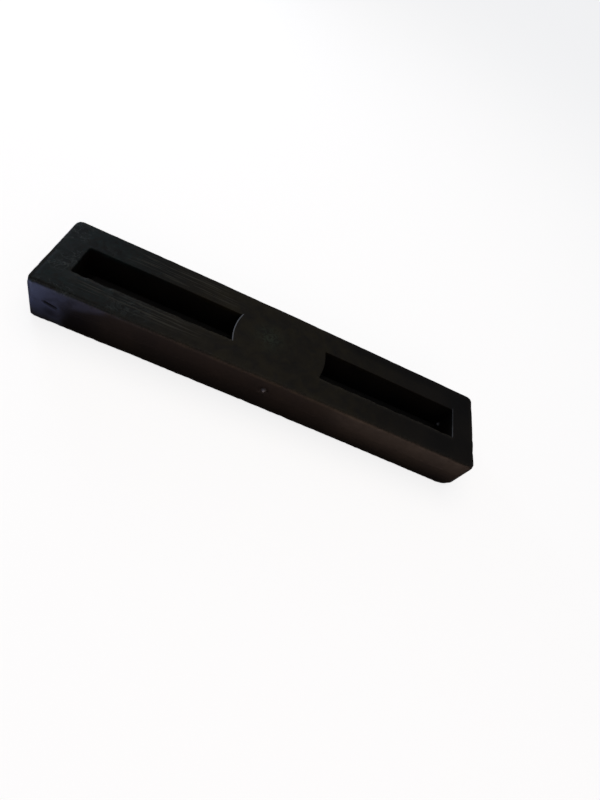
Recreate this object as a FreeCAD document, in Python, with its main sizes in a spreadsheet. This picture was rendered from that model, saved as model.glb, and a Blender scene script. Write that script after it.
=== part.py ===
import FreeCAD, Part
import os
import Sketcher

# A moulded rubber road bar with two deep fixing pockets in its top face. The bar is
# straight-sided and carries, in the floor of each pocket, a steel clamp plate that
# spreads the load of two anchor bolts, and a steel sleeve round each bolt hole that
# stops the rubber being crushed when the bolt is tightened.
# The frame: origin at the centre of the underside, +X along the bar, +Z up.

SIZES = {
    "body_length": 500,
    "body_width": 104,
    "body_height": 52,
    "corner_radius": 4,
    "edge_radius": 2,
    "end_margin": 28,
    "pocket_length": 171,
    "pocket_width": 39,
    "pocket_depth": 38,
    "nose_radius": 70,
    "gate_radius": 4.5,
    "gate_pip_radius": 1.6,
    "gate_depth": 1.2,
    "gate_drop": 19.5,
    "plate_length": 158,
    "plate_width": 34,
    "plate_thickness": 5,
    "plate_corner_radius": 4,
    "plate_edge_chamfer": 0.6,
    "bolt_spacing": 110,
    "bolt_hole_radius": 7,
    "sleeve_wall": 3,
    "sleeve_chamfer": 0.5,
}

# Sizes that follow from the ones above, written as spreadsheet formulas.
DERIVED = {
    "floor_thickness": "=body_height - pocket_depth",
    "pocket_inner": "=body_length / 2 - end_margin - pocket_length",
    "pocket_centre": "=pocket_inner + pocket_length / 2",
    "nose_offset": "=sqrt(nose_radius ^ 2 - (pocket_width / 2) ^ 2)",
    "sleeve_radius": "=bolt_hole_radius + sleeve_wall",
}

doc = FreeCAD.newDocument("road_bar")
sheet = doc.addObject("Spreadsheet::Sheet", "sizes")
for row, (alias, value) in enumerate({**SIZES, **DERIVED}.items(), start=1):
    sheet.set(f"A{row}", alias.replace("_", " "))
    sheet.set(f"B{row}", str(value))
    sheet.setAlias(f"B{row}", alias)
doc.recompute()


def size(alias):
    return float(sheet.get(alias))


def start_body(label):
    """A new sub-part, named after its node."""
    body = doc.addObject("PartDesign::Body", label)
    body.Label = label
    return body


def start_sketch(body, name, plane, offset=None):
    """A sketch on one of the body's own origin planes, lifted off it by a formula."""
    sketch = body.newObject("Sketcher::SketchObject", name)
    planes = [item for item in body.Origin.OriginFeatures if item.Role == plane]
    sketch.AttachmentSupport = [(planes[0], "")]
    sketch.MapMode = "FlatFace"
    if offset:
        sketch.setExpression("AttachmentOffset.Base.z", offset)
    return sketch


def point(x, y):
    return FreeCAD.Vector(x, y, 0)


def constrain(sketch, name, formula, *constraint):
    """A named dimension of the sketch, driven by the spreadsheet."""
    index = sketch.addConstraint(Sketcher.Constraint(*constraint))
    sketch.renameConstraint(index, name)
    sketch.setExpression("Constraints." + name, formula)


def draw_centred_rectangle(sketch, length, width):
    """A rectangle about the sketch's origin, its two sizes given as sheet aliases."""
    x, y = size(length) / 2, size(width) / 2
    corners = [point(-x, -y), point(x, -y), point(x, y), point(-x, y)]
    for start, end in zip(corners, corners[1:] + corners[:1]):
        sketch.addGeometry(Part.LineSegment(start, end), False)
    for side in range(4):
        sketch.addConstraint(Sketcher.Constraint("Coincident", side, 2, (side + 1) % 4, 1))
        upright = "Vertical" if side % 2 else "Horizontal"
        sketch.addConstraint(Sketcher.Constraint(upright, side))
    sketch.addConstraint(Sketcher.Constraint("Symmetric", 0, 1, 1, 2, -1, 1))
    constrain(sketch, "length", "sizes." + length, "DistanceX", 0, 1, 0, 2, size(length))
    constrain(sketch, "width", "sizes." + width, "DistanceY", 1, 1, 1, 2, size(width))


def draw_circle(sketch, name, x, y, radius, radius_formula, x_formula=None, y_formula=None):
    """A circle whose radius, and place where it is off an axis, follow the spreadsheet."""
    centre = point(x, y)
    item = sketch.addGeometry(Part.Circle(centre, FreeCAD.Vector(0, 0, 1), radius), False)
    constrain(sketch, name + "_radius", radius_formula, "Radius", item, radius)
    if x_formula:
        constrain(sketch, name + "_x", x_formula, "DistanceX", -1, 1, item, 3, x)
    else:
        sketch.addConstraint(Sketcher.Constraint("PointOnObject", item, 3, -2))
    if y_formula:
        constrain(sketch, name + "_y", y_formula, "DistanceY", -1, 1, item, 3, y)
    else:
        sketch.addConstraint(Sketcher.Constraint("PointOnObject", item, 3, -1))


def pad(body, name, sketch, length_formula):
    feature = body.newObject("PartDesign::Pad", name)
    feature.Profile = sketch
    feature.setExpression("Length", length_formula)
    doc.recompute()
    body.Tip = feature
    return feature


def cut(body, name, sketch, depth_formula=None):
    """A pocket cut against the sketch's normal, right through where no depth is given."""
    before = body.Shape.Volume
    feature = body.newObject("PartDesign::Pocket", name)
    feature.Profile = sketch
    if depth_formula:
        feature.setExpression("Length", depth_formula)
    else:
        feature.Type = "ThroughAll"
    doc.recompute()
    body.Tip = feature
    removed = before - body.Shape.Volume
    if removed < 1:
        raise RuntimeError(f"{name} removed nothing from {body.Label}")
    return feature


def edges_like(shape, wanted):
    """Names of the edges for which wanted(edge, its bounding box) holds."""
    return [
        f"Edge{number}"
        for number, edge in enumerate(shape.Edges, start=1)
        if wanted(edge, edge.BoundBox)
    ]


def dress(body, kind, name, edges, size_name, formula):
    """A fillet or chamfer on named edges of the body's latest feature."""
    base = body.Tip
    feature = body.newObject("PartDesign::" + kind, name)
    feature.Base = (base, edges)
    feature.setExpression(size_name, formula)
    doc.recompute()
    body.Tip = feature
    return feature


def near(value, target):
    return abs(value - target) < 1e-3


def draw_pocket(sketch, sign):
    """One pocket: square outer end, inner end bulging into it on the nose radius."""
    half_width = size("pocket_width") / 2
    inner = sign * size("pocket_inner")
    outer = inner + sign * size("pocket_length")
    nose = point(inner + sign * (size("nose_radius") - size("nose_offset")), 0)
    corners = [point(inner, half_width), point(outer, half_width),
               point(outer, -half_width), point(inner, -half_width)]
    for start, end in zip(corners, corners[1:]):
        sketch.addGeometry(Part.LineSegment(start, end), False)
    sketch.addGeometry(Part.Arc(corners[0], nose, corners[3]), False)
    for side in range(2):
        sketch.addConstraint(Sketcher.Constraint("Coincident", side, 2, side + 1, 1))
    # An arc runs anticlockwise, so its upper end comes first on the left and last on the right.
    upper, lower = (1, 2) if sign < 0 else (2, 1)
    sketch.addConstraint(Sketcher.Constraint("Coincident", 3, upper, 0, 1))
    sketch.addConstraint(Sketcher.Constraint("Coincident", 3, lower, 2, 2))
    sketch.addConstraint(Sketcher.Constraint("Horizontal", 0))
    sketch.addConstraint(Sketcher.Constraint("Horizontal", 2))
    # Matching the outer corners across the length axis also holds that end upright.
    sketch.addConstraint(Sketcher.Constraint("Symmetric", 1, 1, 1, 2, -1))

    # Distances run rightwards: origin, inner end, outer end, or the reverse on the left.
    origin, inner_end, outer_end = (-1, 1), (0, 1), (0, 2)
    spans = {"inner": (origin, inner_end), "length": (inner_end, outer_end)}
    for name, ends in spans.items():
        start, end = ends[::sign]
        constrain(sketch, name, "sizes.pocket_" + name, "DistanceX", *start, *end, size("pocket_" + name))
    constrain(sketch, "width", "sizes.pocket_width", "DistanceY", 1, 2, 1, 1, size("pocket_width"))
    constrain(sketch, "nose", "sizes.nose_radius", "Radius", 3, size("nose_radius"))


def make_rubber_body():
    """The moulded bar, with its two pockets, sleeve holes and the gate mark on its front."""
    body = start_body("rubber_body")
    outline = start_sketch(body, "bar_outline", "XY_Plane")
    draw_centred_rectangle(outline, "body_length", "body_width")
    pad(body, "bar", outline, "sizes.body_height")

    height = size("body_height")
    upright = edges_like(body.Shape, lambda edge, box: near(box.ZLength, height))
    dress(body, "Fillet", "corner_rounds", upright, "Radius", "sizes.corner_radius")
    outer = edges_like(
        body.Shape,
        lambda edge, box: box.ZLength < 1e-3 and (near(box.ZMin, 0) or near(box.ZMin, height)),
    )
    dress(body, "Fillet", "outer_edge_rounds", outer, "Radius", "sizes.edge_radius")

    for name, sign in (("left_pocket", -1), ("right_pocket", 1)):
        sketch = start_sketch(body, name + "_outline", "XY_Plane", "sizes.body_height")
        draw_pocket(sketch, sign)
        cut(body, name, sketch, "sizes.pocket_depth")

    holes = start_sketch(body, "sleeve_hole_circles", "XY_Plane", "sizes.body_height")
    for name, x, formula in sleeve_places():
        draw_circle(holes, name, x, 0, size("sleeve_radius"), "sizes.sleeve_radius", x_formula=formula)
    cut(body, "sleeve_holes", holes)

    # The gate mark is a shallow ring with a broken-off pip of rubber left standing in it.
    gate = start_sketch(body, "gate_ring", "XZ_Plane", "sizes.body_width / 2")
    level = size("body_height") - size("gate_drop")
    for name in ("gate", "gate_pip"):
        draw_circle(gate, name, 0, level, size(name + "_radius"), f"sizes.{name}_radius",
                    y_formula="sizes.body_height - sizes.gate_drop")
    cut(body, "gate_mark", gate, "sizes.gate_depth")
    return body


def sleeve_places():
    """Name, x and its formula for each of the four bolt holes, from left to right."""
    places = []
    for side, sign in (("left", -1), ("right", 1)):
        for place, step in (("low", -0.5), ("high", 0.5)):
            x = sign * size("pocket_centre") + step * size("bolt_spacing")
            formula = f"{sign} * sizes.pocket_centre + {step} * sizes.bolt_spacing"
            end = "outer" if sign * step > 0 else "inner"
            places.append((f"{side}_{end}_sleeve", x, formula))
    return places


def make_clamp_plate(side, sign):
    """A flat steel plate with rounded corners and two bolt holes, on a pocket's floor."""
    body = start_body(side + "_clamp_plate")
    outline = start_sketch(body, side + "_plate_outline", "XY_Plane")
    draw_centred_rectangle(outline, "plate_length", "plate_width")
    pad(body, side + "_plate", outline, "sizes.plate_thickness")
    thickness = size("plate_thickness")
    upright = edges_like(body.Shape, lambda edge, box: near(box.ZLength, thickness))
    dress(body, "Fillet", side + "_plate_corners", upright, "Radius", "sizes.plate_corner_radius")
    upper = edges_like(body.Shape, lambda edge, box: near(box.ZMin, thickness))
    dress(body, "Chamfer", side + "_plate_edge", upper, "Size", "sizes.plate_edge_chamfer")
    holes = start_sketch(body, side + "_bolt_circles", "XY_Plane", "sizes.plate_thickness")
    for name, step in (("low", -0.5), ("high", 0.5)):
        draw_circle(holes, name, step * size("bolt_spacing"), 0, size("bolt_hole_radius"),
                    "sizes.bolt_hole_radius", x_formula=f"{step} * sizes.bolt_spacing")
    cut(body, side + "_bolt_holes", holes)
    body.setExpression("Placement.Base.x", f"{sign} * sizes.pocket_centre")
    body.setExpression("Placement.Base.z", "sizes.floor_thickness")
    return body


def make_sleeve(name, formula):
    """A short steel tube through the pocket's floor, from the underside to the plate."""
    body = start_body(name)
    ring = start_sketch(body, name + "_ring", "XY_Plane")
    draw_circle(ring, "outside", 0, 0, size("sleeve_radius"), "sizes.sleeve_radius")
    draw_circle(ring, "bore", 0, 0, size("bolt_hole_radius"), "sizes.bolt_hole_radius")
    pad(body, name + "_tube", ring, "sizes.floor_thickness")
    foot = edges_like(
        body.Shape,
        lambda edge, box: near(box.ZMax, 0) and near(box.XLength, 2 * size("sleeve_radius")),
    )
    dress(body, "Chamfer", name + "_foot", foot, "Size", "sizes.sleeve_chamfer")
    body.setExpression("Placement.Base.x", formula)
    return body


subparts = [make_rubber_body()]
subparts += [make_clamp_plate(side, sign) for side, sign in (("left", -1), ("right", 1))]
subparts += [make_sleeve(name, formula) for name, x, formula in sleeve_places()]
doc.recompute()

for item in doc.Objects:
    if "Invalid" in item.State or "Error" in item.State:
        raise RuntimeError(f"{item.Label} failed to build: {item.State}")
for body in subparts:
    if body.Shape.isNull() or not body.Shape.isValid():
        raise RuntimeError(f"{body.Label} has no valid shape")

os.makedirs("parts", exist_ok=True)
for body in subparts:
    body.Shape.exportStep(f"parts/{body.Label}.step")
    box = body.Shape.BoundBox
    print(f"{body.Label}: volume {body.Shape.Volume:.0f} mm3, x {box.XMin:.2f}..{box.XMax:.2f}, "
          f"y {box.YMin:.2f}..{box.YMax:.2f}, z {box.ZMin:.2f}..{box.ZMax:.2f}")
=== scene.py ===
import math

import bpy
import numpy as np
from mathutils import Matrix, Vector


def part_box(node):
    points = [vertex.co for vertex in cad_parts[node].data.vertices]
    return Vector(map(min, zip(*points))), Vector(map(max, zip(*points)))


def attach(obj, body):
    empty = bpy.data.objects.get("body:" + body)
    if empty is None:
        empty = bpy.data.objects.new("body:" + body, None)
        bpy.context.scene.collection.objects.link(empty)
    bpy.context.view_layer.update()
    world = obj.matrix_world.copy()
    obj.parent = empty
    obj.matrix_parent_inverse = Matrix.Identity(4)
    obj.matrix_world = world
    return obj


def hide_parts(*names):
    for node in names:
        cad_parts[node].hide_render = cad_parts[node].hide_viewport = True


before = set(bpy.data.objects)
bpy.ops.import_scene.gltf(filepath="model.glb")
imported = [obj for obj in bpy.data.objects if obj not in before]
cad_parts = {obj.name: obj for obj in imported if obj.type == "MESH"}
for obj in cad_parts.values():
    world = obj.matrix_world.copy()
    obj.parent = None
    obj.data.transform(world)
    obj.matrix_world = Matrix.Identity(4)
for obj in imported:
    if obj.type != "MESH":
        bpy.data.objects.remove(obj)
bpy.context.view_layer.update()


# ---- The moulded bar ------------------------------------------------------------------
# One block of black rubber, pressed and cured in a steel mould. Loose cores in the mould
# left the two deep pockets, and their joints left thin fins of flash on the pocket ends.
# It is old and handled: its lips are chewed, its corners worn and its top dusty.

# Sizes are in millimetres. The bar lies along x, with its front towards -y.
MM = 0.001
bar_low, bar_high = (np.array(corner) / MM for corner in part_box("rubber_body"))
LENGTH, WIDTH, HEIGHT = bar_high - bar_low
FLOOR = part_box("left_clamp_plate")[0][2] / MM
SLEEVE_RADIUS = 10.0
SLEEVE_X = sorted(
    sum(corner[0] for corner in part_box(f"{name}_sleeve")) / 2 / MM
    for name in ("left_outer", "left_inner", "right_inner", "right_outer")
)
CORNER_RADIUS = 4.0
EDGE_RADIUS = 1.4
FRONT_RADIUS = 2.9
FOOT_RADIUS = 2.2
END_MARGIN = 28.0
POCKET_LENGTH = 171.0
POCKET_WIDTH = 39.0
POCKET_CORNER = 2.0
POCKET_FLOOR_RADIUS = 1.2
LIP_RADIUS = 2.6
RIM_RADIUS = 0.8
NOSE_RADIUS = 70.0
POCKET_OUTER = LENGTH / 2 - END_MARGIN
POCKET_INNER = POCKET_OUTER - POCKET_LENGTH

# The strip of top or underside that belongs to a rounded edge. It has to be narrower than
# the corner radius, or the land inside it would fold over at the corners.
BORDER = 3.8

# The places of the small marks, which the mesh is finer round. The slit's are x and z.
PARTING_HEIGHT = 27.5
GATE_HEIGHT = HEIGHT - 19.5
GATE_RING = 6.0
SLIT_START = np.array([-235.0, 30.0])
SLIT_END = np.array([-218.0, 25.5])
VENT_Y, VENT_HEIGHT = 14.5, 24.0


def lattice_lines(marks, steps):
    """Lattice lines from the first mark to the last. Between two marks they are equal parts,
    as near to that interval's step long as fit."""
    runs = [
        np.linspace(start, end, round((end - start) / step) + 1)[:-1]
        for start, end, step in zip(marks, marks[1:], steps)
    ]
    return np.append(np.concatenate(runs), marks[-1])


# The lattice that the top, the pocket floors and the underside share. Its marks are the
# pocket edges and the square round each sleeve, and it is finer near the gate mark and slit.
inner_sleeve, outer_sleeve = SLEEVE_X[2:]
half_marks = [
    0, GATE_RING, POCKET_INNER - BORDER,
    inner_sleeve - SLEEVE_RADIUS, inner_sleeve + SLEEVE_RADIUS,
    outer_sleeve - SLEEVE_RADIUS, outer_sleeve + SLEEVE_RADIUS,
    -SLIT_END[0] - 2, POCKET_OUTER + BORDER, -SLIT_START[0] + 2, LENGTH / 2 - BORDER,
]
half_x = lattice_lines(half_marks, [0.75, 2.45, 1.95, 1.55, 1.5, 1.55, 1.9, 1.0, 1.0, 1.5])
side_marks = [
    0, SLEEVE_RADIUS, POCKET_WIDTH / 2 - POCKET_CORNER, POCKET_WIDTH / 2 + BORDER,
    WIDTH / 2 - BORDER,
]
half_y = lattice_lines(side_marks, [1.55, 1.5, 1.6, 1.5])
lines_x = np.concatenate([-half_x[:0:-1], half_x])
lines_y = np.concatenate([-half_y[:0:-1], half_y])
lattice = np.stack(np.meshgrid(lines_x, lines_y, indexing="ij"), -1)


def ease(value, start, end):
    """0 up to start, 1 from end, and 3t^2 - 2t^3 in between."""
    t = np.clip((value - start) / (end - start), 0, 1)
    return t * t * (3 - 2 * t)


def span(value, start, full, end, gone):
    """0 up to start, 1 from full to end, and 0 again from gone."""
    return ease(value, start, full) * (1 - ease(value, end, gone))


def fade(distance, width):
    """1 at no distance, falling off as a bell curve about `width` mm wide."""
    return np.exp(-((distance / width) ** 2))


def round_off(points, centre, half_size, radius, full=0.0, gone=None):
    """Turns the square corners of a box into arcs. A point's offset v from the box shrunk by
    the radius gets the length max(|vx|, |vy|), so squares round the corner become circles.
    Beyond `full` the change fades, and is nothing by `gone`."""
    core = centre + np.clip(points - centre, radius - half_size, half_size - radius)
    offset = points - core
    square = np.abs(offset).max(-1, keepdims=True)
    length = np.maximum(np.linalg.norm(offset, axis=-1, keepdims=True), 1e-9)
    share = 1.0 if gone is None else 1 - ease(square, full, gone)
    return core + offset * (1 + share * (square / length - 1) * (square > 0))


def outward(points, centre, half_size, radius):
    """The arc centre behind each point of a rounded box's outline, and the unit direction
    from it to the point."""
    core = centre + np.clip(points - centre, radius - half_size, half_size - radius)
    offset = points - core
    return core, offset / np.linalg.norm(offset, axis=-1, keepdims=True)


def with_height(points, height):
    """Flat points with a height put to them as their z."""
    return np.concatenate([points, np.broadcast_to(height, points.shape[:-1] + (1,))], -1)


def quads(grid, flip=False):
    """The four corners of every cell of a grid of points, as an array (cells, 4, 3)."""
    corners = [grid[:-1, :-1], grid[1:, :-1], grid[1:, 1:], grid[:-1, 1:]]
    return np.stack(corners[::-1] if flip else corners, 2).reshape(-1, 4, 3)


def block(centre, half_size):
    """Which lines of the lattice are nearest to the low and high x and y of a box."""
    low, high = centre - half_size, centre + half_size
    sides = ((lines_x, low[0]), (lines_x, high[0]), (lines_y, low[1]), (lines_y, high[1]))
    return [int(np.abs(lines - mark).argmin()) for lines, mark in sides]


def loop(sides):
    """The lattice points anticlockwise round a block, back to the first."""
    i0, i1, j0, j1 = sides
    along, up = np.arange(i0, i1), np.arange(j0, j1)
    back, down = np.arange(i1, i0, -1), np.arange(j1, j0 - 1, -1)
    i = np.concatenate([along, np.full(len(up), i1), back, np.full(len(down), i0)])
    j = np.concatenate([np.full(len(along), j0), up, np.full(len(back), j1), down])
    return lattice[i, j]


def cells(sides):
    """A mask of the lattice cells inside a block."""
    inside = np.zeros((len(lines_x) - 1, len(lines_y) - 1), bool)
    inside[sides[0]:sides[1], sides[2]:sides[3]] = True
    return inside


# Each rounded box is its centre, half its size and its corner radius.
pocket_centre = (POCKET_INNER + POCKET_OUTER) / 2
pocket_half = np.array([POCKET_LENGTH, POCKET_WIDTH]) / 2
outline = (np.zeros(2), np.array([LENGTH, WIDTH]) / 2, CORNER_RADIUS)
pockets = [(np.array([side * pocket_centre, 0]), pocket_half, POCKET_CORNER) for side in (-1, 1)]
sleeves = [(np.array([x, 0]), np.full(2, SLEEVE_RADIUS), SLEEVE_RADIUS) for x in SLEEVE_X]
pocket_blocks = [block(centre, half_size + BORDER) for centre, half_size, radius in pockets]
sleeve_blocks = [block(centre, half_size) for centre, half_size, radius in sleeves]
in_pocket = sum(cells(sides) for sides in pocket_blocks) > 0
in_sleeve = sum(cells(sides) for sides in sleeve_blocks) > 0

# How far from the centre of a rounding the lattice is straight again.
POCKET_BLEND = 12
SLEEVE_BLEND = 16

# The top land, drawn back from the edges and the pockets by the border that rounds them.
land = round_off(lattice, *outline)
for pocket in pockets:
    land = round_off(land, *pocket, full=POCKET_CORNER + BORDER, gone=POCKET_BLEND)
patches = [quads(with_height(land, HEIGHT))[~in_pocket.ravel()]]

# The underside, and the pocket floors: both have the round seats of the sleeves in them.
foot = round_off(lattice, *outline)
for sleeve in sleeves:
    foot = round_off(foot, *sleeve, full=SLEEVE_RADIUS, gone=SLEEVE_BLEND)
patches.append(quads(with_height(foot, 0), flip=True)[~in_sleeve.ravel()])
bed = lattice
for centre, half_size, radius in pockets:
    core = centre + np.clip(bed - centre, radius - half_size, half_size - radius)
    near = (np.abs(bed - centre) <= half_size + BORDER + 0.01).all(-1, keepdims=True)
    shrunk = core + (bed - core) * (radius - POCKET_FLOOR_RADIUS) / (radius + BORDER)
    bed = np.where(near, shrunk, bed)
    bed = round_off(bed, centre, half_size, radius, full=radius, gone=radius + 0.01)
for sleeve in sleeves:
    bed = round_off(bed, *sleeve, full=SLEEVE_RADIUS, gone=SLEEVE_BLEND)
patches.append(quads(with_height(bed, FLOOR))[(in_pocket & ~in_sleeve).ravel()])


def wall(points, centre, half_size, radius, offsets, heights, flip):
    """A profile carried round a rounded box: each row of offsets is how far outside the box's
    outline the surface is at that row's height."""
    core, direction = outward(points, centre, half_size, radius)
    flat = core[:, None] + direction[:, None] * (radius + offsets)[..., None]
    heights = np.broadcast_to(heights, flat.shape[:2])[..., None]
    return quads(np.concatenate([flat, heights], -1), flip)


def edge_radii(points, box, plain, front):
    """An edge's radius at each point of a box's outline, as a column: plain, eased up to front
    where the outline faces the front."""
    direction = outward(points, *box)[1]
    return (plain + (front - plain) * ease(-direction[:, 1], 0.2, 0.9))[:, None]


def profile(count, *parts):
    """The rows of a profile, the same for every point or one for each, put end to end."""
    return np.concatenate([np.broadcast_to(part, (count, np.shape(part)[-1])) for part in parts], 1)


# A quarter circle in five steps, from level to upright: how far it still has to go sideways
# and how far it has come down, both as shares of its radius.
quarter = np.linspace(0, math.pi / 2, 6)
still_in = 1 - np.sin(quarter)
come_down = 1 - np.cos(quarter)

# The outer skin: border of the land, rounded top edge, side, rounded foot, underside. Its
# rows are closest at the seam, and close over the slit and the gate mark.
skin_marks = [FOOT_RADIUS, 22, 26, 29, 40, HEIGHT - FRONT_RADIUS]
side_z = lattice_lines(skin_marks, [1.9, 1.0, 0.6, 0.8, 1.4])[-2:0:-1]
edge = loop([0, len(lines_x) - 1, 0, len(lines_y) - 1])
edge_radius = edge_radii(edge, outline, EDGE_RADIUS, FRONT_RADIUS)
skin_in = profile(
    len(edge), BORDER + (edge_radius - BORDER) * np.array([0, 0.5]), edge_radius * still_in,
    np.zeros(len(side_z)), FOOT_RADIUS * come_down, [BORDER])
skin_z = profile(
    len(edge), [HEIGHT, HEIGHT], HEIGHT - edge_radius * come_down,
    side_z, FOOT_RADIUS * still_in, [0])
patches.append(wall(edge, *outline, -skin_in, skin_z, flip=True))

# The pocket walls: border, rim, wall, rounded foot. The lip nearest the front is the most
# rounded, and the rows are close at the vent pip.
wall_marks = [
    FLOOR + POCKET_FLOOR_RADIUS, VENT_HEIGHT - 3, VENT_HEIGHT + 3, HEIGHT - LIP_RADIUS - 1]
wall_z = lattice_lines(wall_marks, [2.9, 1.0, 3.2])[::-1]
for pocket, sides in zip(pockets, pocket_blocks):
    rim = loop(sides)
    rim_radius = edge_radii(rim, pocket, RIM_RADIUS, LIP_RADIUS)
    wall_out = profile(
        len(rim), BORDER + (rim_radius - BORDER) * np.linspace(0, 1, 4)[:-1],
        rim_radius * still_in, np.zeros(len(wall_z)), -POCKET_FLOOR_RADIUS * come_down[1:])
    wall_heights = profile(
        len(rim), np.full(3, HEIGHT), HEIGHT - rim_radius * come_down,
        wall_z, FLOOR + POCKET_FLOOR_RADIUS * still_in[1:])
    patches.append(wall(rim, *pocket, wall_out, wall_heights, flip=False))
for sleeve, sides in zip(sleeves, sleeve_blocks):
    seat_heights = np.linspace(FLOOR, 0, 4)
    patches.append(wall(loop(sides), *sleeve, np.zeros((1, 4)), seat_heights, flip=False))


def weld(patches):
    """Joins patches of quads into points and faces, one point for all corners within 2 um."""
    corners = np.concatenate(patches).reshape(-1, 3)
    first, places = np.unique(
        np.round(corners / 0.002).astype(np.int64), axis=0, return_index=True, return_inverse=True
    )[1:]
    return corners[first], places.reshape(-1, 4)


points, faces = weld(patches)


def lumps(points, size, seed):
    """Smooth random heights from -1 to 1 at points, in lumps about `size` mm across: the eased
    blend of eight seeded random values at the corners of each point's cell."""
    table = np.random.default_rng(seed).uniform(-1, 1, (32, 32, 32))
    base = np.floor(points / size).astype(int)
    t = points / size - base
    t = t * t * (3 - 2 * t)
    total = np.zeros(len(points))
    for corner in np.ndindex(2, 2, 2):
        weight = np.where(corner, t, 1 - t).prod(1)
        total += weight * table[tuple(((base + corner) % 32).T)]
    return total


def dents(points, size, seed):
    """The upper halves of the lumps, from 0 to 1, with nothing between them."""
    return np.clip(lumps(points, size, seed), 0, 1)


def point_normals(points, faces):
    """Each point's unit normal: the sum of the area vectors of the quads that meet there."""
    corner = points[faces]
    area = np.cross(corner[:, 2] - corner[:, 0], corner[:, 3] - corner[:, 1])
    total = np.stack([
        np.bincount(faces.ravel(), np.repeat(area[:, axis], 4), len(points)) for axis in range(3)
    ], 1)
    return total / np.linalg.norm(total, axis=1, keepdims=True)


def nose_bulge(y):
    """How far a core's nose-shaped end reaches into its pocket: an arc's height over its chord."""
    centre_to_chord = math.sqrt(NOSE_RADIUS ** 2 - (POCKET_WIDTH / 2) ** 2)
    return np.sqrt(NOSE_RADIUS ** 2 - y ** 2) - centre_to_chord


# The inner end of each pocket bulges into it. The shift is whole at the wall and dies away
# on the land behind it and along the pocket's sides.
NOSE_BLEND = 14
for side in (-1, 1):
    x, y = points[:, :2].T
    reach = 1 - ease(np.abs(x - side * POCKET_INNER), BORDER + 0.1, NOSE_BLEND)
    points[:, 0] += side * reach * np.clip(nose_bulge(np.clip(y, -30, 30)), 0, None)

# Handling and moulding marks, each a height along the surface's own normal. First come the
# places: how far in from the sides, the outer skin and its front, everything but the sleeves'
# seats, the pockets' front lips, and the top and foot edges.
normal = point_normals(points, faces)
x, y, z = points.T.copy()
inset = np.minimum(LENGTH / 2 - np.abs(x), WIDTH / 2 - np.abs(y))
on_skin = 1 - ease(inset, 0.2, 1.5)
on_front = on_skin * (y < 0) * (WIDTH / 2 - np.abs(y) < 1.5)
off_seats = np.maximum(ease(z, FLOOR + 1, FLOOR + 6), 1 - ease(inset, 10, 16))
along_pocket = span(
    np.abs(x), POCKET_INNER - 4, POCKET_INNER + 2, POCKET_OUTER - 2, POCKET_OUTER + 4)
lip = fade(y + POCKET_WIDTH / 2 + 1, 3) * ease(z, HEIGHT - 7, HEIGHT - 1) * along_pocket
top_edge = fade(inset, 3.5) * ease(z, HEIGHT - 6, HEIGHT - 1)
foot_edge = fade(inset, 5) * (1 - ease(z, 1, 8))

SWELL = 0.22
RIPPLE = 0.05


def swell(points):
    """The bar's slight unevenness: low broad waves and finer ripples."""
    return SWELL * lumps(points, 46, 1) + RIPPLE * lumps(points, 8, 2)


# Wear, as the depth of its dents and the height of its grain. The lips are worn all along
# as well, and the top edge more at the front, where its left part has a crease behind it.
LIP_WEAR, LIP_DENTS, LIP_GRAIN = 0.35, 0.8, 0.5
TOP_DENTS, TOP_GRAIN, FRONT_DENTS = 0.25, 0.12, 0.7
FOOT_DENTS, FOOT_GRAIN = 0.45, 0.22
CREASE_DEPTH, CREASE_INSET, CREASE_WIDTH = 0.8, 3.1, 0.7
height = off_seats * swell(points)
height -= lip * (LIP_WEAR + LIP_DENTS * dents(points, 7, 3) + LIP_GRAIN * lumps(points, 2.6, 4))
height -= top_edge * (TOP_DENTS * dents(points, 9, 5) + TOP_GRAIN * lumps(points, 3, 6))
height -= top_edge * (y < 0) * FRONT_DENTS * dents(points, 6, 13)
crease = fade(inset - CREASE_INSET, CREASE_WIDTH) * ease(z, HEIGHT - 2, HEIGHT - 1)
crease = crease * (y < 0) * (1 - ease(x, -205, -140))
height -= CREASE_DEPTH * crease
height -= foot_edge * (FOOT_DENTS * dents(points, 8, 7) + FOOT_GRAIN * lumps(points, 3.4, 8))

# The seam where the mould's halves met: a low ridge round the sides, ragged on the left end.
SEAM_HEIGHT, SEAM_LUMPS, SEAM_RAGS = 0.14, 0.12, 1.1
left_end = 1 - ease(x, -LENGTH / 2 + 0.5, -LENGTH / 2 + 4)
seam = on_skin * fade(z - PARTING_HEIGHT, 0.8)
height += seam * (SEAM_HEIGHT + SEAM_LUMPS * lumps(points, 15, 10))
height += seam * left_end * SEAM_RAGS * ease(lumps(points, 5, 11), 0.0, 0.7)

# The gate, where rubber was fed in: a shallow ring round a torn-off pip.
GATE_PIP_HEIGHT, GATE_RING_DEPTH = 2.8, 1.5
from_gate = np.hypot(x, z - GATE_HEIGHT)
gate_pip = on_front * (1 - ease(from_gate, 1.1, 3.0))
gate_ring = on_front * (1 - ease(from_gate, 3.0, GATE_RING + 0.2))
height += GATE_PIP_HEIGHT * gate_pip - GATE_RING_DEPTH * gate_ring

# A cold shut near the left end, where two flows of rubber met without joining. It is a short
# sloping slit with a puffed lower lip.
SLIT_DEPTH, SLIT_WIDTH = 2.4, 1.0
PUFF_HEIGHT, PUFF_BELOW, PUFF_WIDTH = 0.55, 2.4, 1.5
slit_length = np.linalg.norm(SLIT_END - SLIT_START)
slit_way = (SLIT_END - SLIT_START) / slit_length
from_slit = np.stack([x, z], 1) - SLIT_START
down_slit = from_slit @ slit_way
off_slit = from_slit @ np.array([slit_way[1], -slit_way[0]])
in_slit = ease(down_slit, 0, 3) * (1 - ease(down_slit, slit_length - 4, slit_length)) * on_front
height -= in_slit * SLIT_DEPTH * fade(off_slit, SLIT_WIDTH)
height += in_slit * PUFF_HEIGHT * fade(off_slit - PUFF_BELOW, PUFF_WIDTH)

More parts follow.
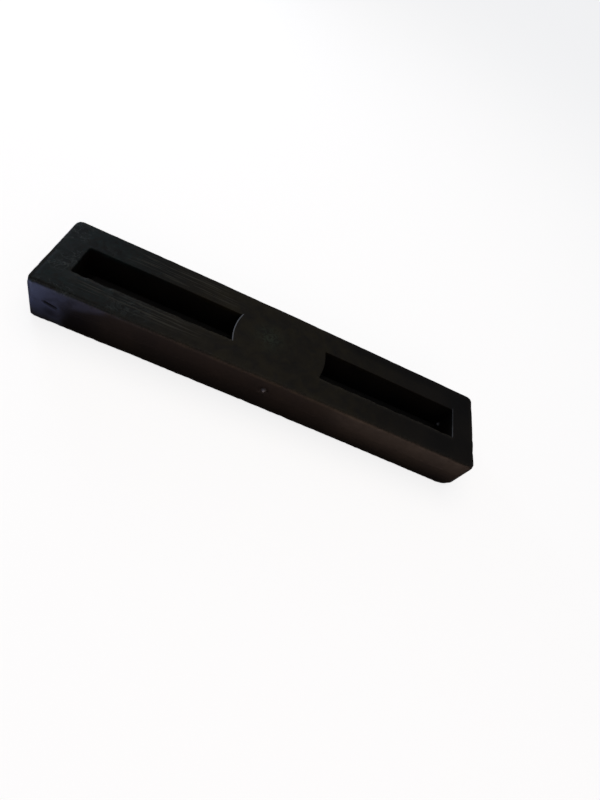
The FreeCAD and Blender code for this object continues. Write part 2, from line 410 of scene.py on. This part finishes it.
# A vent pip on the outer end wall of the right pocket.
VENT_PIP_HEIGHT = 2.6
from_vent = np.hypot(y - VENT_Y, z - VENT_HEIGHT)
vent_pip = (1 - ease(from_vent, 0.9, 3.2)) * (np.abs(x - POCKET_OUTER) < 1)
height += VENT_PIP_HEIGHT * vent_pip
points += normal * height[:, None]


def wear_corner(points, corner, lean, depth, softness=0.7):
    """Rubs a corner off along a plane that leans as `lean` says and lies `depth` mm inside the
    sharp corner. The overhang past the plane is taken off, eased so that the cut is round."""
    way = np.array(lean) / np.linalg.norm(lean)
    over = (points - corner) @ way + depth
    return points - way * (softness * np.logaddexp(0, over / softness))[:, None]


# Which end, side and face the corner is at, the way its cut leans, and how deep it goes.
worn_corners = (
    ((-1, 1, 1), (-0.70, 0.62, 0.36), 2.6),
    ((-1, -1, 1), (-0.6, -0.5, 0.6), 3.2),
    ((1, -1, 1), (0.6, -0.6, 0.5), 2.6),
    ((1, 1, 1), (0.6, 0.6, 0.5), 2.0),
    ((1, -1, 0), (0.60, -0.55, -0.58), 6.2),
    ((-1, -1, 0), (-0.6, -0.6, -0.5), 1.2),
    ((-1, 1, 0), (-0.6, 0.6, -0.5), 3.6),
    ((1, 1, 0), (0.6, 0.6, -0.5), 3.2),
)
for ends, lean, depth in worn_corners:
    corner = np.array(ends) * [LENGTH / 2, WIDTH / 2, HEIGHT]
    points = wear_corner(points, corner, lean, depth)

# The right end was cut slightly out of square, and is longer towards the front.
END_SKEW = 2.0
end_share = ease(points[:, 0], POCKET_OUTER + 8, LENGTH / 2)
points[:, 0] += END_SKEW * end_share * (0.5 - points[:, 1] / WIDTH)

# The bar has taken a slight set: its top is bowed up, and so are its long lower edges.
TOP_BOW = 2.1
FOOT_BOW = 2.2


def bow(x, y, z):
    """The lift from the set at a point: a parabola along the bar, from the floor of the pockets
    up at the top, and fading inwards from the long sides at the foot."""
    arch = 1 - (2 * x / LENGTH) ** 2
    side = ease(np.abs(y), WIDTH / 2 - 22, WIDTH / 2 - 4)
    return arch * (TOP_BOW * ease(z, FLOOR, HEIGHT) + FOOT_BOW * (1 - z / HEIGHT) * side)


points[:, 2] += bow(*points.T)
points[:, 2] = np.clip(points[:, 2], 0, None)

FIN_RADIUS = 0.6
FIN_TAPER = 0.06
FIN_OVERRUN = 2.5
FIN_BACK = 0.45
FIN_SUNK = 0.1
FIN_STEPS = 60


def fin(line, radius):
    """A thin fin of flash along a line lying on the top: a round section, varying a little,
    that tapers as a square root to a fiftieth at both ends and is closed there by quads."""
    along = np.gradient(line, axis=0)
    along /= np.linalg.norm(along, axis=1, keepdims=True)
    across = np.stack([along[:, 1], -along[:, 0], np.zeros(len(line))], 1)
    t = np.linspace(0, 1, len(line))
    taper = np.sqrt(np.clip(np.minimum(t, 1 - t) / FIN_TAPER, 0.0004, 1))
    size = radius * taper * (1 + 0.15 * lumps(line, 4, 12))
    angle = np.linspace(0, 2 * math.pi, 9)
    ring = np.cos(angle)[None, :, None] * across[:, None] + np.sin(angle)[None, :, None] * [0, 0, 1]
    rings = line[:, None] + size[:, None, None] * ring
    cap = np.array([[0, 1, 2, 3], [0, 3, 4, 7], [4, 5, 6, 7]])
    return np.concatenate([quads(rings), rings[0][cap], rings[-1][cap[:, ::-1]]])


# One fin lies along the left pocket's bulged inner end, one along the right one's outer end.
fin_end = POCKET_WIDTH / 2 + FIN_OVERRUN
fin_y = np.linspace(-fin_end, fin_end, FIN_STEPS)
fins = []
for start, bulge in ((-POCKET_INNER, -1), (POCKET_OUTER, 0)):
    fin_x = start + bulge * nose_bulge(fin_y) + FIN_BACK
    line = np.stack([fin_x, fin_y, np.full(FIN_STEPS, HEIGHT)], 1)
    line[:, 2] += swell(line) + bow(*line.T) - FIN_SUNK
    fins.append(fin(line, FIN_RADIUS))
fin_points, fin_faces = weld(fins)

# Where each mark lies on the skin, from 0 to 1: marks of age, and painted light and shade. The
# scuffs are bands on each side of the left pocket, and the chalk is on the left end and a strip in
# front of that pocket. The bloom, partly real and partly a painted bluish reflection, is on the
# front by the left end, and reaches further along near the top. The stains are along the far right
# edge and on the right end; with them go painted shade on the front past the reflection, darker
# towards the bottom, a painted shadow under the slit, and painted shade in the slit and the crease.
# The flash is on the pips and the fins, painted pale partly as a glint, less on the right one.
x, y, z = points.T
on_top = ease(z, HEIGHT - 3.5, HEIGHT - 1.5)
front = (y < -WIDTH / 2 + 2) * (1 - ease(z, HEIGHT - 1.5, HEIGHT))
front_scuffs = span(y, -43, -38, -26, -21) * span(x, -225, -195, -120, -60)
back_scuffs = span(y, 22, 27, 43, 48) * span(x, -195, -165, -90, -40)
chalk_strip = span(y, -50, -44, -24, -20) * (1 - ease(x, -170, -120))
chalk_area = 1 - ease(x, -228, -180) * (1 - chalk_strip)
# Where the bloom and its painted bluish reflection end along the front: further right near the top.
bloom_reflection_end = x - 2.5 * np.clip(z - 32, 0, 20)
far_stain = 0.8 * ease(y, 32, 45) * span(x, 60, 90, 185, 215)
end_stain = 0.7 * ease(x, 200, 245) * ease(y, 0, 40)
# Painted shade on the front just past the painted reflection, darker towards the bottom.
shade_past_reflection = span(x, -222, -207, -196, -168) * (0.15 + 0.85 * (1 - ease(z, 20, 42)))
# A painted shadow under the slit.
shadow_under_slit = 0.7 * (1 - ease(np.hypot((x + 228) / 11, (z - 17) / 8), 0.1, 1))
masks = {
    "wear": np.clip(lip + 0.5 * top_edge + 0.5 * foot_edge, 0, 1),
    # The flash mask is pale flash and partly a painted glint on the pips.
    "flash_and_glint": 0.9 * vent_pip + 0.65 * gate_pip,
    "left_top": on_top * (1 - ease(x, -215, -95)),
    "middle_top": on_top * span(x, -170, -60, 60, 210),
    "scuffs": on_top * (front_scuffs + back_scuffs),
    "chalk": on_top * chalk_area * ease(lumps(points, 17, 14), -0.5, 0.2),
    "dusting": on_top * fade(np.hypot(x + 14, y - 4), 15),
    # The bloom mask is partly real bloom and partly a painted bluish reflection, fuller towards the
    # bottom.
    "bloom_and_reflection": front * (1.2 - 0.4 * z / HEIGHT) * (1 - ease(bloom_reflection_end, -224, -199)),
    # The stain mask is real staining on the top, and painted shade on the front past the
    # reflection, a painted shadow under the slit, and painted shade in the slit and the crease.
    "stain_and_shade": on_top * (far_stain + end_stain) + front * (shade_past_reflection + shadow_under_slit)
             + in_slit * fade(off_slit, 1.5) + crease,
}
# On the fins the flash mask is a painted glint: whole on the left fin, weaker on the right one and
# weaker still towards its back.
fin_glint = np.where(fin_points[:, 0] < 0, 1.0, 0.45 - 0.25 * ease(fin_points[:, 1], -12, -2))
masks = {name: np.append(values, np.zeros(len(fin_points))) for name, values in masks.items()}
masks["flash_and_glint"][len(points):] = fin_glint
faces = np.concatenate([faces, fin_faces + len(points)])
points = np.concatenate([points, fin_points])


def make_piece(name, points, faces, **masks):
    """A smooth-shaded mesh of quads given in millimetres, with a value per point for each mask."""
    mesh = bpy.data.meshes.new(name)
    mesh.vertices.add(len(points))
    mesh.vertices.foreach_set("co", (points * MM).astype(np.float32).ravel())
    mesh.loops.add(faces.size)
    mesh.loops.foreach_set("vertex_index", faces.astype(np.int32).ravel())
    mesh.polygons.add(len(faces))
    mesh.polygons.foreach_set("loop_start", np.arange(0, faces.size, 4, dtype=np.int32))
    mesh.polygons.foreach_set("use_smooth", np.ones(len(faces), bool))
    mesh.update(calc_edges=True)
    for mask, values in masks.items():
        layer = mesh.attributes.new(mask, "FLOAT", "POINT")
        layer.data.foreach_set("value", values.astype(np.float32))
    piece = bpy.data.objects.new(name, mesh)
    bpy.context.scene.collection.objects.link(piece)
    return piece


bar = make_piece("moulded_rubber_bar", points, faces, **masks)
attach(bar, "root")
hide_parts("rubber_body")


def colour(code):
    """An sRGB hex code as linear red, green, blue and full alpha."""
    parts = [int(code[i:i + 2], 16) / 255 for i in (1, 3, 5)]
    return [p / 12.92 if p <= 0.04045 else ((p + 0.055) / 1.055) ** 2.4 for p in parts] + [1.0]


def start_material(name):
    """A material with no nodes in it yet."""
    material = bpy.data.materials.new(name)
    material.use_nodes = True
    material.node_tree.nodes.clear()
    return material


def add(material, kind, inputs, **settings):
    """Adds a node. `inputs` gives its sockets by name or number: another node's output is
    linked, anything else is the socket's value. The settings are the node's own."""
    node = material.node_tree.nodes.new(kind)
    for name, value in settings.items():
        setattr(node, name, value)
    for name, value in inputs.items():
        if isinstance(value, bpy.types.NodeSocket):
            material.node_tree.links.new(value, node.inputs[name])
        else:
            node.inputs[name].default_value = value
    return node.outputs


# Vulcanised rubber, pressed in a blasted mould: near black, with the waxy bloom and road dust that
# give it a dull skin, paler where it is scuffed and a little glossier on the flash. Some of its
# colour is
# painted light: a bluish reflection on the front's left end, shade on the front past it and in the
# slit and crease, a shadow under the slit, and a pale glint on the flash.
rubber = start_material("moulded_black_rubber")
place = add(rubber, "ShaderNodeTexCoord", {})["Object"]
blotches = add(rubber, "ShaderNodeTexNoise", {
    "Vector": place, "Scale": 1 / (38 * MM), "Detail": 4.0})["Fac"]
blotches = add(rubber, "ShaderNodeMapRange", {
    "Value": blotches, "From Min": 0.35, "From Max": 0.68})[0]
body = add(rubber, "ShaderNodeMix", {
    0: blotches, 6: colour("#181613"), 7: colour("#231f19")}, data_type="RGBA")[2]

# What lies on the skin, each over the last: the mask, the colour, the most of it, the size of
# its lumps in mm, how far they are drawn out along the bar, how much they swirl, and the
# levels of the noise where it starts and where it is whole.
layers = (
    ("middle_top", "#322d1c", 0.80, 14, 1, 0.5, 0.30, 0.65),
    ("left_top", "#1c3435", 0.75, 8, 1, 1.6, 0.26, 0.70),
    ("left_top", "#0a0b0d", 0.60, 18, 1, 1.0, 0.44, 0.66),
    # The bloom entry paints a pale bluish reflection on the front's left end, with some real bloom.
    ("bloom_and_reflection", "#474e5e", 0.85, 14, 1, 0.5, 0.20, 0.50),
    # The stain entry is real staining on the top, and painted shade and shadow on the front, in the
    # slit and in the crease.
    ("stain_and_shade", "#030304", 0.95, 9, 1, 0.4, 0.10, 0.35),
    ("chalk", "#5b6663", 0.50, 15, 1, 2.0, 0.52, 0.55),
    ("chalk", "#141c1c", 0.90, 15, 1, 2.0, 0.555, 0.58),
    ("chalk", "#6b7572", 0.30, 3.4, 1, 0.6, 0.60, 0.68),
    ("scuffs", "#5a5a50", 0.60, 2.0, 20, 0.3, 0.50, 0.64),
    ("dusting", "#3f4a3b", 0.75, 6, 1, 1.6, 0.34, 0.58),
    ("dusting", "#1c1d14", 0.80, 7, 1, 2.0, 0.54, 0.58),
    ("wear", "#5a564c", 0.60, 1.6, 1, 0.0, 0.35, 0.62),
    # The flash entry paints the pips and fins pale grey, partly their chalky flash and partly a
    # painted glint.
    ("flash_and_glint", "#9ba1a9", 1.0, 9, 1, 0.0, 0.00, 0.05),
)
for mask, code, most, size, drawn, swirl, start, whole in layers:
    drawn_out = add(rubber, "ShaderNodeMapping", {
        "Vector": place, "Scale": (1 / drawn, 1.0, 1.0)})[0]
    pattern = add(rubber, "ShaderNodeTexNoise", {
        "Vector": drawn_out, "Scale": 1 / (size * MM), "Detail": 2.5, "Distortion": swirl})["Fac"]
    share = add(rubber, "ShaderNodeMapRange", {
        "Value": pattern, "From Min": start, "From Max": whole, "To Max": most})[0]
    there = add(rubber, "ShaderNodeAttribute", {}, attribute_name=mask)["Fac"]
    share = add(rubber, "ShaderNodeMath", {0: share, 1: there}, operation="MULTIPLY")[0]
    body = add(rubber, "ShaderNodeMix", {0: share, 6: body, 7: colour(code)}, data_type="RGBA")[2]

# The dull skin is a little patchy, and the flash is smoother. The blasted mould's grain is
# really about 0.2 mm across, and is drawn at 1.1 mm so that it shows. Paler marks stand up.
mottle = add(rubber, "ShaderNodeTexNoise", {
    "Vector": place, "Scale": 1 / (7 * MM), "Detail": 5.0})["Fac"]
roughness = add(rubber, "ShaderNodeMapRange", {
    "Value": mottle, "From Min": 0.3, "From Max": 0.7, "To Min": 0.44, "To Max": 0.60})[0]
flash_and_glint = add(rubber, "ShaderNodeAttribute", {}, attribute_name="flash_and_glint")["Fac"]
roughness = add(rubber, "ShaderNodeMix", {0: flash_and_glint, 2: roughness, 3: 0.22})[0]
grain = add(rubber, "ShaderNodeTexNoise", {
    "Vector": place, "Scale": 1 / (1.1 * MM), "Detail": 2.0})["Fac"]
pores = add(rubber, "ShaderNodeBump", {
    "Height": grain, "Strength": 0.35, "Distance": 0.25 * MM})[0]
chewed = add(rubber, "ShaderNodeBump", {
    "Height": body, "Strength": 0.4, "Distance": 1.2 * MM, "Normal": pores})[0]
shader = add(rubber, "ShaderNodeBsdfPrincipled", {
    "Base Color": body, "Roughness": roughness, "Normal": chewed,
    "IOR": 1.52, "Specular IOR Level": 0.25})[0]
add(rubber, "ShaderNodeOutputMaterial", {"Surface": shader})
bar.data.materials.append(rubber)


# ---- The clamp plates -----------------------------------------------------------------
# A strip of 5 mm steel bonded to the floor of each pocket, under the heads of its two bolts.
# It is sheared, punched and dip-coated black against rust.

# The dip dries to a satin black with soft paler runs and a faint orange peel.
coated = start_material("black_dip_coated_steel")
place = add(coated, "ShaderNodeTexCoord", {})["Object"]
orange_peel = add(coated, "ShaderNodeTexNoise", {
    "Vector": place, "Scale": 1 / (1.6 * MM), "Detail": 2.0})["Fac"]
runs = add(coated, "ShaderNodeTexNoise", {
    "Vector": place, "Scale": 1 / (22 * MM), "Detail": 4.0})["Fac"]
coat = add(coated, "ShaderNodeMix", {
    0: runs, 6: colour("#0d0e10"), 7: colour("#1b1a19")}, data_type="RGBA")[2]
sheen = add(coated, "ShaderNodeMapRange", {"Value": runs, "To Min": 0.34, "To Max": 0.58})[0]
skin = add(coated, "ShaderNodeBump", {
    "Height": orange_peel, "Strength": 0.25, "Distance": 0.12 * MM})[0]
shader = add(coated, "ShaderNodeBsdfPrincipled", {
    "Base Color": coat, "Roughness": sheen, "Normal": skin})[0]
add(coated, "ShaderNodeOutputMaterial", {"Surface": shader})


def dress(node, material):
    """Gives a CAD node its finish in place of the plain one."""
    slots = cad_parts[node].material_slots
    if not slots:
        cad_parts[node].data.materials.append(material)
    for slot in slots:
        slot.material = material


for side in ("left", "right"):
    dress(f"{side}_clamp_plate", coated)


# ---- The bolt sleeves -----------------------------------------------------------------
# Lengths of turned steel tube round the bolt holes, from the underside to the plate, which
# stop the rubber being crushed. They are zinc plated, and bonded in when the bar is cured.

# Zinc plate is a pale grey metal, a little yellowed in patches. The rings that turning left
# run round the tube: they are really about 0.2 mm apart, and are drawn at 0.5 mm to show.
zinc = start_material("zinc_plated_steel")
place = add(zinc, "ShaderNodeTexCoord", {})["Object"]
spangle = add(zinc, "ShaderNodeTexNoise", {
    "Vector": place, "Scale": 1 / (3 * MM), "Detail": 4.0})["Fac"]
turning = add(zinc, "ShaderNodeMapping", {"Vector": place, "Scale": (0.05, 0.05, 1.0)})[0]
turning = add(zinc, "ShaderNodeTexNoise", {
    "Vector": turning, "Scale": 1 / (0.5 * MM), "Detail": 2.0})["Fac"]
tint = add(zinc, "ShaderNodeMix", {
    0: spangle, 6: colour("#9a9b9c"), 7: colour("#bcbab2")}, data_type="RGBA")[2]
sheen = add(zinc, "ShaderNodeMapRange", {"Value": spangle, "To Min": 0.28, "To Max": 0.5})[0]
skin = add(zinc, "ShaderNodeBump", {"Height": turning, "Strength": 0.3, "Distance": 0.05 * MM})[0]
shader = add(zinc, "ShaderNodeBsdfPrincipled", {
    "Base Color": tint, "Metallic": 1.0, "Roughness": sheen, "Normal": skin})[0]
add(zinc, "ShaderNodeOutputMaterial", {"Surface": shader})
for name in ("left_outer", "left_inner", "right_inner", "right_outer"):
    dress(f"{name}_sleeve", zinc)


# ---- The studio -----------------------------------------------------------------------
# A pale painted floor. The rubber is so dark that light bounced off a white floor would
# outshine it, so bounced rays meet a dimmer floor and room than the camera does.

FLOOR_HALF = 30.0
FLOOR_Z = -0.0002
floor_mesh = bpy.data.meshes.new("floor")
floor_mesh.from_pydata(
    [(-FLOOR_HALF, -FLOOR_HALF, FLOOR_Z), (FLOOR_HALF, -FLOOR_HALF, FLOOR_Z),
     (FLOOR_HALF, FLOOR_HALF, FLOOR_Z), (-FLOOR_HALF, FLOOR_HALF, FLOOR_Z)],
    [], [(0, 1, 2, 3)])
floor_piece = bpy.data.objects.new("floor", floor_mesh)
bpy.context.scene.collection.objects.link(floor_piece)

# Matt white paint, which shows no gloss. To bounced rays it is a dull reddish grey.
paint = start_material("matt_white_floor_paint")
seen = add(paint, "ShaderNodeLightPath", {})["Is Camera Ray"]
bright = add(paint, "ShaderNodeBsdfDiffuse", {"Color": (0.92, 0.92, 0.92, 1)})[0]
glow = add(paint, "ShaderNodeEmission", {"Color": (1, 1, 1, 1), "Strength": 0.80})[0]
bright = add(paint, "ShaderNodeAddShader", {0: bright, 1: glow})[0]
dim = add(paint, "ShaderNodeBsdfDiffuse", {"Color": (0.50, 0.39, 0.36, 1)})[0]
mixed = add(paint, "ShaderNodeMixShader", {0: seen, 1: dim, 2: bright})[0]
add(paint, "ShaderNodeOutputMaterial", {"Surface": mixed})
floor_mesh.materials.append(paint)

room = bpy.data.worlds.new("room")
room.use_nodes = True
room.node_tree.nodes.clear()
seen = add(room, "ShaderNodeLightPath", {})["Is Camera Ray"]
shown = add(room, "ShaderNodeBackground", {"Color": (0.93, 0.93, 0.93, 1), "Strength": 1.0})[0]
fill = add(room, "ShaderNodeBackground", {"Color": (0.8, 0.85, 1.0, 1), "Strength": 0.10})[0]
mixed = add(room, "ShaderNodeMixShader", {0: seen, 1: fill, 2: shown})[0]
add(room, "ShaderNodeOutputWorld", {"Surface": mixed})
bpy.context.scene.world = room
bpy.context.scene.view_settings.view_transform = "Standard"


def softbox(name, place, target, size, radiance, tint):
    """A square area light, unseen by the camera. Its power is radiance times pi times area."""
    light = bpy.data.lights.new(name, "AREA")
    light.size = size
    light.energy = radiance * math.pi * size ** 2
    light.color = colour(tint)[:3]
    lamp = bpy.data.objects.new(name, light)
    lamp.location = place
    way = np.array(target) - np.array(place)
    turn = math.atan2(way[1], way[0]) - math.pi / 2
    lamp.rotation_euler = (math.pi / 2 + math.atan2(way[2], math.hypot(way[0], way[1])), 0, turn)
    lamp.visible_camera = False
    bpy.context.scene.collection.objects.link(lamp)


# A window behind on the left, a broad soft ceiling, and a weak light in front. The three
# cards lie on the floor before the bar, facing up: its front mirrors them at a low angle,
# so it is palest at the top and fades downwards, bluish at the left and reddish elsewhere.
softbox("window", (-1.03, 1.03, 0.30), (0, 0, 0.05), 0.42, 3.6, "#cfdcf2")
softbox("ceiling", (-0.20, 0.45, 1.7), (0, 0, 0), 1.6, 0.50, "#fff2e0")
softbox("front", (0.30, -1.10, 0.60), (0, 0, 0.03), 0.5, 0.8, "#ffdccb")
softbox("left_card", (-0.34, -0.16, 0.006), (-0.34, -0.159, 1.0), 0.17, 2.6, "#bccaff")
softbox("middle_card", (-0.06, -0.24, 0.006), (-0.06, -0.239, 1.0), 0.28, 0.8, "#ffd9d2")
softbox("right_card", (0.21, -0.20, 0.006), (0.21, -0.199, 1.0), 0.24, 1.1, "#ffdccb")

# The camera stands a little over half a metre away, above and before the bar's middle.
lens = bpy.data.cameras.new("camera")
lens.lens = 21.25
lens.clip_start, lens.clip_end = 0.02, 20
camera = bpy.data.objects.new("camera", lens)
camera.location = (-0.0470, -0.3596, 0.4290)
camera.rotation_euler = [math.radians(angle) for angle in (34.18, -21.55, 12.80)]
bpy.context.scene.collection.objects.link(camera)
bpy.context.scene.camera = camera
